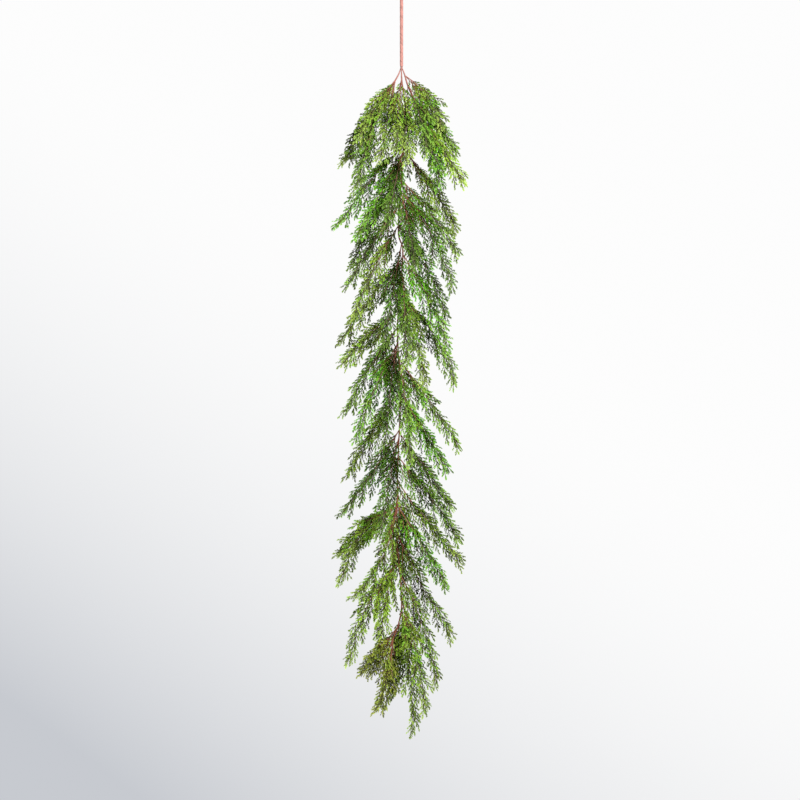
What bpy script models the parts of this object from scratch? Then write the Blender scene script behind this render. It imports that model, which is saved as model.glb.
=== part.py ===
"""Door garland: leafy evergreen sprays on paper-wrapped wires, hanging from a wire loop.

Metres, +Z up. The origin is the point in the loop where a hook bears, and the front faces -Y.
Three wires are bound together with paper tape under the loop. They part at the fork, and every
spray hangs from one of them on a bare stalk. A spray is a green rib with leafy twigs, made like
a feather.
"""

import math
import random

import bmesh
import bpy
import numpy as np
from mathutils import Matrix, Vector
from mathutils.bvhtree import BVHTree

# Sizes are in metres and angles in radians, unless a comment says otherwise
GAP = 0.0003
WELD = 0.000002
MILLIMETRE = 0.001
SEED = 7

# Loop, wrap and wires
LOOP_INNER_RADIUS, LOOP_WIRE_RADIUS = 0.0085, 0.0012
EYE_START, EYE_END = math.radians(-62), math.radians(242)
EYE_POINTS = 15
WRAP_TOP, WRAP_BOTTOM = -0.030, -0.203
WRAP_THICKNESS, WRAP_LIP = 0.0008, 0.0012
WRAP_SIDES = 14
LEG_TOP = WRAP_TOP + 0.003
LEG_END = -0.0407
WIRE_TOP = -0.0415
FORK_Z = -0.207
BOUND_RADIUS, WIRE_RADIUS, WIRE_END_RADIUS = 0.0012, 0.0018, 0.0015
WIRE_SWELL, WIRE_DROP = 0.025, 1.30

# Sprays: a stalk, a rib and its twigs
STALK_SHARES = (0.09, 0.21)
STALK_POINTS, RIB_POINTS = 3, 5
STALK_ROOT_RADIUS, RIB_RADIUS, RIB_TIP_RADIUS = 0.0013, 0.0017, 0.0009
BOW_OUT, BOW_UP = 0.6, 0.8
SPRAY_ROLL = math.radians(28)
FACING = Vector((0.0, -1.0, 0.15))
TWIGS = 9
TWIG_START, TWIG_END = 0.03, 0.93
TWIG_LONGEST, TWIG_SHORTEST = 0.074, 0.019
TWIG_TAPER = 0.75
TWIG_LEAN = math.radians(24)
TWIG_TILTS = (math.radians(-16), math.radians(40))
TWIG_DROOP = Vector((0.0, 0.0, -0.3))
TWIG_ROOT, TWIG_CORE, TWIG_NECK = 0.0006, 0.0012, 0.004
LONG_TWIG = 0.073
LEAFLET_REACH, LEAFLET_LIFT = 0.0070, 0.0004
LEAFLET_TAPER = 0.45
LEAFLET_AHEAD, LEAFLET_AHEAD_AT_END = 0.95, 0.62

# A twig is tried at these lengths and turns, with this much room round it
TWIG_KEEPS = (1.0, 0.82, 0.64, 0.46)
TWIG_SWINGS = [math.radians(turn) for turn in (0, 10, -10, 20, -20, 32, -32)]
TWIG_ROOM = (1.12, 1.8, 1.03)

# Radius of the circle on which the three bound wires lie, side by side
BUNDLE_RADIUS = (2 * BOUND_RADIUS + GAP) / math.sqrt(3)

# Each wire below the fork: side (+X), depth (+Y) and drop below the fork, in millimetres
LEFT_WIRE = [(-7, 1, 15), (-20, -2, 38), (-37, -4, 65), (-50, -5, 95), (-58, -8, 117)]
RIGHT_WIRE = [(7, 1, 15), (14, 0, 39), (26, -3, 67), (37, -5, 90), (46, -6, 117)]
MAIN_WIRE = [
    (0, -2, 15), (1, 0, 33), (5, 4, 61), (9, 7, 89), (8, 8, 139), (3, 6, 207), (-7, 6, 362),
    (3, 8, 409), (-3, 6, 499), (-9, 4, 589), (-3, 6, 749), (-9, 6, 909), (-10, 4, 1059),
    (-8, 3, 1091), (-2, 2, 1157), (0, 0, 1214), (-8, -1, 1255), (-17, -2, 1278), (-26, -4, 1304),
]

# Each spray: name, drop of its root, then side, depth and drop of its tip in millimetres,
# how far it bows (as a share of its length) and its leaf colour
LEFT_WIRE_SPRAYS = [
    ("left_01", 27, (-92, -34, 155), 0.07, "olive"),
    ("left_02", 73, (-122, 26, 199), 0.06, "olive"),
    ("left_03", 115, (-97, -40, 265), 0.05, "grey_green"),
    ("left_19", 27, (-44, -58, 205), 0.04, "olive"),
]
RIGHT_WIRE_SPRAYS = [
    ("right_01", 17, (90, -8, 126), 0.16, "olive"),
    ("right_02", 69, (118, 24, 179), 0.03, "grey_green"),
    ("right_03", 115, (136, -30, 253), 0.0, "light"),
    ("right_18", 35, (58, -52, 185), 0.10, "grey_green"),
    ("right_19", 101, (86, -68, 267), 0.08, "fresh"),
]
MAIN_WIRE_SPRAYS = [
    ("left_04", 174, (-139, 10, 349), 0.07, "fresh"),
    ("left_05", 209, (-95, -72, 381), 0.06, "fresh"),
    ("left_06", 247, (-110, 56, 435), 0.07, "grey_green"),
    ("left_07", 309, (-117, -20, 485), 0.06, "grey_green"),
    ("left_08", 354, (-105, -66, 559), 0.06, "olive"),
    ("left_09", 427, (-132, 40, 609), 0.05, "olive"),
    ("left_10", 552, (-123, -34, 658), 0.08, "olive"),
    ("left_11", 584, (-122, 20, 769), 0.06, "grey_green"),
    ("left_12", 728, (-120, 44, 916), 0.06, "olive"),
    ("left_13", 814, (-129, -26, 997), -0.03, "deep"),
    ("left_14", 988, (-133, -4, 1149), 0.27, "olive"),
    ("left_15", 984, (-102, -48, 1181), -0.22, "olive"),
    ("left_16", 1115, (-114, -36, 1327), 0.20, "light"),
    ("left_17", 1077, (-50, 18, 1299), 0.04, "light"),
    ("left_18", 1284, (-50, -12, 1431), -0.10, "russet"),
    ("left_20", 980, (-135, 40, 1090), 0.10, "olive"),
    ("left_21", 1258, (-80, 24, 1354), 0.02, "russet"),
    ("right_04", 181, (122, 48, 354), 0.05, "olive"),
    ("right_05", 250, (124, -16, 414), 0.04, "grey_green"),
    ("right_06", 277, (114, -68, 496), 0.13, "deep"),
    ("right_07", 351, (103, 44, 559), 0.10, "deep"),
    ("right_08", 419, (105, -22, 628), 0.07, "fresh"),
    ("right_09", 509, (121, 38, 705), 0.14, "grey_green"),
    ("right_10", 487, (54, -72, 709), 0.04, "olive"),
    ("right_11", 652, (129, -8, 848), 0.01, "grey_green"),
    ("right_12", 725, (100, -58, 898), -0.03, "fresh"),
    ("right_13", 875, (131, 36, 1063), 0.04, "grey_green"),
    ("right_14", 929, (131, -16, 1105), -0.05, "olive"),
    ("right_15", 984, (98, -66, 1153), 0.0, "fresh"),
    ("right_16", 1046, (114, 20, 1276), -0.07, "olive"),
    ("right_17", 1140, (80, -28, 1377), 0.10, "olive"),
    ("right_20", 820, (112, 44, 986), -0.02, "grey_green"),
    ("tip_right", 1213, (28, -20, 1485), 0.05, "light"),
    ("tip_left", 1241, (-14, 26, 1399), 0.06, "olive"),
    ("tip_front", 1197, (54, -44, 1438), 0.08, "olive"),
    ("front_01", 23, (-10, -60, 187), 0.10, "olive"),
    ("front_02", 79, (14, -78, 207), 0.10, "olive"),
    ("front_03", 179, (-26, -92, 349), 0.10, "deep"),
    ("front_04", 277, (30, -96, 451), 0.10, "deep"),
    ("front_05", 395, (-38, -92, 623), 0.02, "deep"),
    ("front_06", 455, (12, -98, 665), 0.08, "grey_green"),
    ("front_07", 613, (-36, -92, 845), 0.10, "deep"),
    ("front_08", 648, (20, -98, 881), 0.10, "grey_green"),
    ("front_09", 830, (-46, -92, 1043), 0.06, "deep"),
    ("front_10", 619, (-98, -70, 831), 0.08, "fresh"),
    ("back_01", 940, (6, 40, 1150), -0.04, "olive"),
]

LEAF_COLOURS = {
    "olive": (0.13, 0.20, 0.045, 1),
    "grey_green": (0.12, 0.21, 0.07, 1),
    "deep": (0.06, 0.14, 0.035, 1),
    "fresh": (0.07, 0.25, 0.03, 1),
    "light": (0.22, 0.42, 0.08, 1),
    "russet": (0.21, 0.17, 0.05, 1),
}
WRAP_COLOUR = (0.60, 0.27, 0.20, 1)
BARK_COLOUR = (0.20, 0.07, 0.05, 1)


def clear_scene():
    """Removes every object of the start-up scene."""
    for obj in list(bpy.data.objects):
        bpy.data.objects.remove(obj)


def new_collection(name):
    """A collection of that name, linked to the scene."""
    made = bpy.data.collections.new(name)
    bpy.context.scene.collection.children.link(made)
    return made


def material(name, colour, roughness):
    """A plain material of one colour that isn't metal."""
    made = bpy.data.materials.new(name)
    made.use_nodes = True
    shader = made.node_tree.nodes["Principled BSDF"]
    shader.inputs["Base Color"].default_value = colour
    shader.inputs["Roughness"].default_value = roughness
    shader.inputs["Metallic"].default_value = 0.0
    return made


def smooth_path(knots, per_span):
    """Catmull-Rom curve through the knots, with per_span points to each span."""
    knots = np.asarray(knots, float)
    padded = np.vstack([2 * knots[0] - knots[1], knots, 2 * knots[-1] - knots[-2]])
    t = np.linspace(0, 1, per_span, endpoint=False)[:, None]
    points = []
    for a, b, c, d in zip(padded, padded[1:], padded[2:], padded[3:]):
        points.append(0.5 * (2 * b + (c - a) * t + (2 * a - 5 * b + 4 * c - d) * t**2
                             + (3 * b - a - 3 * c + d) * t**3))
    points.append(knots[-1:])
    return np.vstack(points)


def below_fork(side_depth_drop):
    """A point given in millimetres from the fork, as metres in the garland's frame."""
    side, depth, drop = np.asarray(side_depth_drop, float).T * MILLIMETRE
    return np.stack([side, depth, FORK_Z - drop], axis=-1)


def tube(name, points, radii, bevel_resolution, collection):
    """A round bar along the points, as a curve with filled ends."""
    curve = bpy.data.curves.new(name, "CURVE")
    curve.dimensions = "3D"
    curve.bevel_depth = 1.0
    curve.bevel_resolution = bevel_resolution
    curve.use_fill_caps = True
    spline = curve.splines.new("POLY")
    spline.points.add(len(points) - 1)
    for point, place, radius in zip(spline.points, points, radii):
        point.co = (*place, 1)
        point.radius = radius
    obj = bpy.data.objects.new(name, curve)
    collection.objects.link(obj)
    return obj


def drop_scraps(shape):
    """Keeps only the largest connected piece of a bmesh."""
    left = set(shape.verts)
    islands = []
    while left:
        island, edge = set(), [left.pop()]
        while edge:
            vert = edge.pop()
            island.add(vert)
            near = {link.other_vert(vert) for link in vert.link_edges} & left
            left -= near
            edge.extend(near)
        islands.append(island)
    largest = max(islands, key=len)
    scraps = [vert for island in islands if island is not largest for vert in island]
    bmesh.ops.delete(shape, geom=scraps, context="VERTS")


def as_mesh(obj):
    """The evaluated object as one closed mesh in its place, with the source object removed."""
    name = obj.name
    home = obj.users_collection[0]
    bpy.context.view_layer.update()
    graph = bpy.context.evaluated_depsgraph_get()
    mesh = bpy.data.meshes.new_from_object(obj.evaluated_get(graph))
    shape = bmesh.new()
    shape.from_mesh(mesh)
    bmesh.ops.remove_doubles(shape, verts=shape.verts, dist=WELD)
    drop_scraps(shape)
    shape.to_mesh(mesh)
    shape.free()
    matrix = obj.matrix_world.copy()
    bpy.data.objects.remove(obj)
    made = bpy.data.objects.new(name, mesh)
    made.matrix_world = matrix
    home.objects.link(made)
    return made


def fused(body, pieces):
    """One solid from a body and the pieces that grow from it, by a Boolean union."""
    modifier = body.modifiers.new("joined", "BOOLEAN")
    modifier.operation = "UNION"
    modifier.operand_type = "COLLECTION"
    modifier.collection = pieces
    modifier.solver = "MANIFOLD"
    made = as_mesh(body)
    for piece in list(pieces.objects):
        bpy.data.objects.remove(piece)
    bpy.data.collections.remove(pieces)
    return made


def finish(obj, look):
    """Gives a solid its material and smooths its round sides."""
    obj.data.materials.clear()
    obj.data.materials.append(look)
    obj.data.shade_smooth()
    obj.data.set_sharp_from_angle(angle=math.radians(40))
    return obj


class Neighbours:
    """The solids placed so far, with their owners, so that a new twig can be kept clear."""

    def __init__(self):
        self.shapes = []

    def add(self, owner, mesh):
        verts = [vert.co.copy() for vert in mesh.vertices]
        self.shapes.append((owner, verts, [tuple(face.vertices) for face in mesh.polygons]))

    def others(self, owner):
        """A search tree of all the faces that belong to another owner."""
        all_verts, all_faces = [], []
        for name, verts, faces in self.shapes:
            if name != owner:
                first = len(all_verts)
                all_verts += verts
                all_faces += [tuple(first + index for index in face) for face in faces]
        return BVHTree.FromPolygons(all_verts, all_faces)


def wire_path(angle, knots):
    """A whole wire: straight down in the wrap, in its place by the angle, then below the fork."""
    side, depth = BUNDLE_RADIUS * math.cos(angle), BUNDLE_RADIUS * math.sin(angle)
    fork = np.array([[side, depth, FORK_Z]])
    run = smooth_path(np.vstack([fork, below_fork(knots)]), 2)
    return np.vstack([[side, depth, WIRE_TOP], run])


def point_at_drop(path, drop):
    """The point of a wire at a drop below the fork, in millimetres."""
    z = FORK_Z - drop * MILLIMETRE
    order = np.argsort(path[:, 2])
    return np.array([np.interp(z, path[order, 2], path[order, axis]) for axis in range(3)])


def spray_line(root, tip, bow):
    """A spray's line as a function of 0 to 1: a parabola from root to tip, bowed up and out."""
    chord = tip - root
    outward = np.array([chord[0], chord[1], 0.0]) / np.hypot(chord[0], chord[1])
    lift = BOW_OUT * outward + np.array([0, 0, BOW_UP])
    middle = (root + tip) / 2 + bow * np.linalg.norm(chord) * lift

    def line(t):
        t = np.asarray(t, float)[..., None]
        return (1 - t) ** 2 * root + 2 * t * (1 - t) * middle + t**2 * tip

    return line


def extruded(frames, segments):
    """A bar through the frames: a unit circle of few segments, extruded from frame to frame."""
    shape = bmesh.new()
    bmesh.ops.create_circle(shape, cap_ends=True, segments=segments, radius=1, matrix=frames[0])
    end = shape.faces[:][0]
    for start, stop in zip(frames, frames[1:]):
        made = bmesh.ops.extrude_face_region(shape, geom=[end])["geom"]
        if len(shape.faces) > 2 * segments:
            bmesh.ops.delete(shape, geom=[end], context="FACES_ONLY")
        end = next(item for item in made if isinstance(item, bmesh.types.BMFace))
        step = stop @ start.inverted()
        for vert in end.verts:
            vert.co = step @ vert.co
    bmesh.ops.remove_doubles(shape, verts=shape.verts, dist=WELD)
    bmesh.ops.recalc_face_normals(shape, faces=shape.faces)
    return shape


def as_new_mesh(name, shape):
    """The bmesh as a new mesh. The bmesh is freed."""
    mesh = bpy.data.meshes.new(name)
    shape.to_mesh(mesh)
    shape.free()
    return mesh


def twig_shape(length):
    """A leafy twig along +Z: a three-sided core with a pointed leaflet poked from each side.

    The core has a short bare root, which starts inside the rib, and runs out in a point.
    """
    stages = 1 + (length > LONG_TWIG)
    rise = (length - TWIG_NECK) / stages
    heights = [0] + [TWIG_NECK + stage * rise for stage in range(stages + 1)]
    radii = [TWIG_ROOT] + [TWIG_CORE * (1 - stage / stages) for stage in range(stages + 1)]
    shape = extruded([
        Matrix.Translation((0, 0, height)) @ Matrix.Diagonal((radius, radius, 1, 1))
        for height, radius in zip(heights, radii)
    ], 3)
    for face in list(shape.faces):
        centre = face.calc_center_median()
        if face.normal.y < 0.2 or centre.z < TWIG_NECK:
            continue
        stage = int((centre.z - TWIG_NECK) / rise)
        reach = LEAFLET_REACH * (1 - LEAFLET_TAPER * centre.z / length)
        ahead = LEAFLET_AHEAD if stage < stages - 1 else LEAFLET_AHEAD_AT_END
        tip = bmesh.ops.poke(shape, faces=[face])["verts"][0]
        side = math.copysign(reach, centre.x)
        tip.co = Vector((side, LEAFLET_LIFT, TWIG_NECK + (stage + ahead) * rise))
    return as_new_mesh("twig", shape)


def line_frames(line, shares, facing):
    """Frames along a spray's line: X to its side, Y to its back and Z ahead, to the tip."""
    frames = []
    for point, beyond in zip(line(shares), line(shares + 0.01)):
        ahead = Vector(beyond - point).normalized()
        side = ahead.cross(facing).normalized()
        turn = Matrix((side, ahead.cross(side), ahead)).transposed().to_4x4()
        frames.append(Matrix.Translation(point) @ turn)
    return frames


def bar_shape(frames, start_radius, end_radius):
    """A tapered three-sided bar, with its flat sides turned to the sides and the front."""
    radii = np.linspace(start_radius, end_radius, len(frames))
    return extruded([frame @ Matrix.Diagonal((radius, radius, 1, 1))
                     for frame, radius in zip(frames, radii)], 3)


def twig_places(frames, draw):
    """Each twig of a spray: root, direction, back direction and length.

    The twigs take turns on the left and the right of the rib, tilted to its front and its back
    in turn. Their length falls from the stalk to the tip. Each leans away from the rib and
    droops a little.
    """
    for k in range(TWIGS):
        share = TWIG_START + (TWIG_END - TWIG_START) * k / (TWIGS - 1)
        span, part = divmod(share * (len(frames) - 1), 1)
        start, end = frames[int(span)], frames[int(span) + 1]
        tilt = TWIG_TILTS[k // 2 % 2] * draw.uniform(0.7, 1.2)
        lean = TWIG_LEAN * draw.uniform(0.85, 1.15)
        across = Vector(((-1) ** k * math.cos(tilt), math.sin(tilt), 0))
        upright = start.to_3x3() @ (math.sin(lean) * across + Vector((0, 0, math.cos(lean))))
        direction = (upright + TWIG_DROOP).normalized()
        length = TWIG_SHORTEST + (TWIG_LONGEST - TWIG_SHORTEST) * (1 - share) ** TWIG_TAPER
        root = start.translation.lerp(end.translation, part)
        yield root, direction, start.col[1].xyz, length * draw.uniform(0.9, 1.08)


def placed(mesh, root, direction, normal, spread):
    """Moves a twig made along +Z to its root, with its flat side towards the normal."""
    side = normal.cross(direction)
    turn = Matrix((side, normal, direction)).transposed().to_4x4()
    mesh.transform(Matrix.Translation(root) @ turn @ Matrix.Diagonal((*spread, 1)))
    return mesh


def crosses(mesh, tree):
    """Whether a face of the mesh meets a face of the search tree."""
    verts = [vert.co for vert in mesh.vertices]
    faces = [tuple(face.vertices) for face in mesh.polygons]
    return bool(BVHTree.FromPolygons(verts, faces).overlap(tree))


def clear_twig(root, direction, back, length, others):
    """The twig bent or shortened until it is clear of every other spray, or None."""
    for keep in TWIG_KEEPS:
        for swing in TWIG_SWINGS:
            way = Matrix.Rotation(swing, 3, back) @ direction
            normal = (back - way * back.dot(way)).normalized()
            room = placed(twig_shape(length * keep), root, way, normal, TWIG_ROOM)
            if not crosses(room, others):
                return placed(twig_shape(length * keep), root, way, normal, (1, 1, 1))
    return None


class Spray:
    """One spray: a bare stalk, which its wire takes, and a rib with twigs."""

    def __init__(self, row, path, collection):
        name, drop, tip, bow, self.colour = row
        self.name = "spray_" + name
        self.draw = random.Random(f"{SEED} {self.name}")
        line = spray_line(point_at_drop(path, drop), below_fork(tip), bow)
        share = self.draw.uniform(*STALK_SHARES)
        roll = self.draw.uniform(-SPRAY_ROLL, SPRAY_ROLL)
        facing = Matrix.Rotation(roll, 3, Vector(line(1.0) - line(0.0))) @ FACING
        self.stalk = line_frames(line, np.linspace(0, share, STALK_POINTS), facing)
        self.rib = line_frames(line, np.linspace(share, 1, RIB_POINTS), facing)
        self.rib[0] = self.rib[0] @ Matrix.Translation((0, 0, GAP))
        mesh = as_new_mesh(self.name, bar_shape(self.rib, RIB_RADIUS, RIB_TIP_RADIUS))
        self.body = bpy.data.objects.new(self.name, mesh)
        collection.objects.link(self.body)

    def grow(self, look, neighbours):
        """Fuses the rib with the twigs that find room."""
        twigs = new_collection(self.name + "_twigs")
        others = neighbours.others(self.name)
        for place in twig_places(self.rib, self.draw):
            mesh = clear_twig(*place, others)
            if mesh is not None:
                twigs.objects.link(bpy.data.objects.new("twig", mesh))
        neighbours.add(self.name, finish(fused(self.body, twigs), look).data)


def grow_wire(name, path, sprays, look, collection):
    """A wire fused with the bare stalks of its sprays."""
    radii = np.interp(path[:, 2], [FORK_Z - WIRE_DROP, FORK_Z - WIRE_SWELL, FORK_Z],
                      [WIRE_END_RADIUS, WIRE_RADIUS, BOUND_RADIUS])
    body = as_mesh(tube(name, path, radii, 1, collection))
    stalks = new_collection(name + "_stalks")
    for spray in sprays:
        mesh = as_new_mesh("stalk", bar_shape(spray.stalk, STALK_ROOT_RADIUS, RIB_RADIUS))
        stalks.objects.link(bpy.data.objects.new("stalk", mesh))
    return finish(fused(body, stalks), look)


def hanging_loop(look, collection):
    """The eye that takes the hook: two legs in the wrap and most of a circle above them."""
    radius = LOOP_INNER_RADIUS + LOOP_WIRE_RADIUS
    centre_z = -LOOP_INNER_RADIUS
    turn = np.linspace(EYE_START, EYE_END, EYE_POINTS)
    eye = np.stack([radius * np.cos(turn), 0 * turn, centre_z + radius * np.sin(turn)], axis=-1)
    leg_side = BUNDLE_RADIUS + BOUND_RADIUS - LOOP_WIRE_RADIUS
    leg_top = np.array([leg_side, 0, LEG_TOP])
    leg_end = np.array([leg_side, 0, LEG_END])
    mirror = np.array([-1, 1, 1])
    points = np.vstack([leg_end, leg_top, eye, leg_top * mirror, leg_end * mirror])
    radii = [LOOP_WIRE_RADIUS] * len(points)
    finish(as_mesh(tube("hanging_loop", points, radii, 2, collection)), look)


def tape_wrap(look, collection):
    """The paper tape that binds the loop's legs and the three wires: a turned sleeve."""
    inner = BUNDLE_RADIUS + BOUND_RADIUS + GAP
    middle, outer = inner + WRAP_THICKNESS / 2, inner + WRAP_THICKNESS
    profile = [
        (inner, WRAP_TOP), (middle, WRAP_TOP), (outer, WRAP_TOP - WRAP_LIP),
        (outer, WRAP_BOTTOM + WRAP_LIP), (middle, WRAP_BOTTOM), (inner, WRAP_BOTTOM),
    ]
    mesh = bpy.data.meshes.new("tape_wrap")
    count = len(profile)
    mesh.from_pydata([(r, 0, z) for r, z in profile],
                     [(k, (k + 1) % count) for k in range(count)], [])
    obj = bpy.data.objects.new("tape_wrap", mesh)
    collection.objects.link(obj)
    turned = obj.modifiers.new("turned", "SCREW")
    turned.steps = turned.render_steps = WRAP_SIDES
    turned.use_merge_vertices = True
    turned.merge_threshold = WELD
    finish(obj, look)


def main():
    """Builds the wires and all the ribs, then grows the sprays one by one, then the loop."""
    clear_scene()
    garland = new_collection("door_garland")
    paper = material("wrapped_wire", WRAP_COLOUR, 0.75)
    bark = material("wrapped_bark", BARK_COLOUR, 0.75)
    leaves = {name: material(name, colour, 0.55) for name, colour in LEAF_COLOURS.items()}
    neighbours = Neighbours()
    wires = [
        ("left_wire", math.radians(150), LEFT_WIRE, LEFT_WIRE_SPRAYS, paper),
        ("right_wire", math.radians(30), RIGHT_WIRE, RIGHT_WIRE_SPRAYS, paper),
        ("main_wire", math.radians(270), MAIN_WIRE, MAIN_WIRE_SPRAYS, bark),
    ]
    grown = []
    for name, angle, knots, rows, look in wires:
        path = wire_path(angle, knots)
        sprays = [Spray(row, path, garland) for row in rows]
        neighbours.add(name, grow_wire(name, path, sprays, look, garland).data)
        grown += sprays
    for spray in grown:
        neighbours.add(spray.name, spray.body.data)
    for spray in grown:
        spray.grow(leaves[spray.colour], neighbours)
    hanging_loop(paper, garland)
    tape_wrap(paper, garland)


main()
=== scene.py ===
"""Door garland: leafy sprays on paper-wrapped wires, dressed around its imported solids.

Metres, +Z up, front towards -Y. The origin is the point in the loop where a hook bears. Every
shape is worked out with numpy from the same wires and sprays as the solids, and each finished
piece takes the place of one solid.
"""

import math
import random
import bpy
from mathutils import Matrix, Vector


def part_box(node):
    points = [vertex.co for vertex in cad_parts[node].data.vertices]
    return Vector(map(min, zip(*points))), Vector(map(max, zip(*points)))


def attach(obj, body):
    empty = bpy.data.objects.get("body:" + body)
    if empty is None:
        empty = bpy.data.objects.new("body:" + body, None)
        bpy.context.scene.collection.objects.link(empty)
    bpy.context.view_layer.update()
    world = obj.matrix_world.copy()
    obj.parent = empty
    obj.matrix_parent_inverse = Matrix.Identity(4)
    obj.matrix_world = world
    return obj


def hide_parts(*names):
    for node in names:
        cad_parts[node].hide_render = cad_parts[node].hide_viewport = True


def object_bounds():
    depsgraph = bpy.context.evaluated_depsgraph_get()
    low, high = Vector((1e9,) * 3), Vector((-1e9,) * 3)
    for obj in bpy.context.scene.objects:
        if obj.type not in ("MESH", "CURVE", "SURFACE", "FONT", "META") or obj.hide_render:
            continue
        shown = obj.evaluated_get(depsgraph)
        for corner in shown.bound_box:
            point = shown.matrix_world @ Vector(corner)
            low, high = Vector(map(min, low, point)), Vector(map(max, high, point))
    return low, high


bl_info = {
    "name": "Door Garland",
    "version": (1, 0, 0),
    "blender": (4, 5, 0),
    "location": "3D View > Sidebar > Garland",
    "description": "Makes a hanging evergreen garland with its wires, leafy sprays and studio stage",
    "category": "Add Mesh",
}

from collections import namedtuple

import bpy
import numpy as np
from bpy.props import FloatProperty, FloatVectorProperty, PointerProperty

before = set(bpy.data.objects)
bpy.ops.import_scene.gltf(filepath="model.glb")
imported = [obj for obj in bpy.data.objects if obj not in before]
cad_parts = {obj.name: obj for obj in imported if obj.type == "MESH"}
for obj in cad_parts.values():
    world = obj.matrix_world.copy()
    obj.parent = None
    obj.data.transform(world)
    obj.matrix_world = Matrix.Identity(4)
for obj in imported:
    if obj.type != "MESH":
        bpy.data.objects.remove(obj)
SOLID_LOW, SOLID_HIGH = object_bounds()
TAPE_LOW, TAPE_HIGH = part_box("tape_wrap")

SEED = 7
MILLIMETRE = 0.001

# Loop and wires, as in the solids
LOOP_INNER_RADIUS, LOOP_WIRE_RADIUS = 0.0085, 0.0012
EYE_START, EYE_END = math.radians(-62), math.radians(242)
LEG_TOP, LEG_END = -0.027, -0.0407
WIRE_TOP, FORK_Z = -0.0415, -0.207
BOUND_RADIUS, WIRE_RADIUS, WIRE_END_RADIUS = 0.0012, 0.0018, 0.0015
WIRE_SWELL, WIRE_DROP = 0.025, 1.30
BUNDLE_RADIUS = 0.00156
TAPE_THICKNESS = 0.0008

# How the paper is wound: the tape's pulled-in ends, the loop's finer turns and the plain stalks
TAPE_LIP, TAPE_END_SHARE = 0.0012, 0.45
LOOP_PITCH_SHARE, LOOP_LAP_SHARE = 0.6, 0.5
STALK_LAP = 0.6

# Sprays, as in the solids
STALK_SHARES = (0.09, 0.21)
STALK_ROOT_RADIUS, STALK_END_RADIUS = 0.0013, 0.0012
BOW_OUT, BOW_UP = 0.6, 0.8
SPRAY_ROLL = math.radians(28)
FACING = np.array([0.0, -1.0, 0.15])
TWIGS = 9
TWIG_START, TWIG_END = 0.03, 0.93
TWIG_LONGEST, TWIG_SHORTEST = 0.074, 0.019
TWIG_TAPER = 0.75
TWIG_LEAN = math.radians(24)
TWIG_TILTS = np.radians([-16, 40])
TWIG_DROOP = np.array([0.0, 0.0, -0.3])
TILT_DRAW, LEAN_DRAW, LENGTH_DRAW = (0.7, 1.2), (0.85, 1.15), (0.9, 1.08)

# Each wire below the fork: side (+X), depth (+Y) and drop below the fork, in millimetres
LEFT_WIRE = [(-7, 1, 15), (-20, -2, 38), (-37, -4, 65), (-50, -5, 95), (-58, -8, 117)]
RIGHT_WIRE = [(7, 1, 15), (14, 0, 39), (26, -3, 67), (37, -5, 90), (46, -6, 117)]
MAIN_WIRE = [
    (0, -2, 15), (1, 0, 33), (5, 4, 61), (9, 7, 89), (8, 8, 139), (3, 6, 207), (-7, 6, 362),
    (3, 8, 409), (-3, 6, 499), (-9, 4, 589), (-3, 6, 749), (-9, 6, 909), (-10, 4, 1059),
    (-8, 3, 1091), (-2, 2, 1157), (0, 0, 1214), (-8, -1, 1255), (-17, -2, 1278), (-26, -4, 1304),
]

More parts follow.
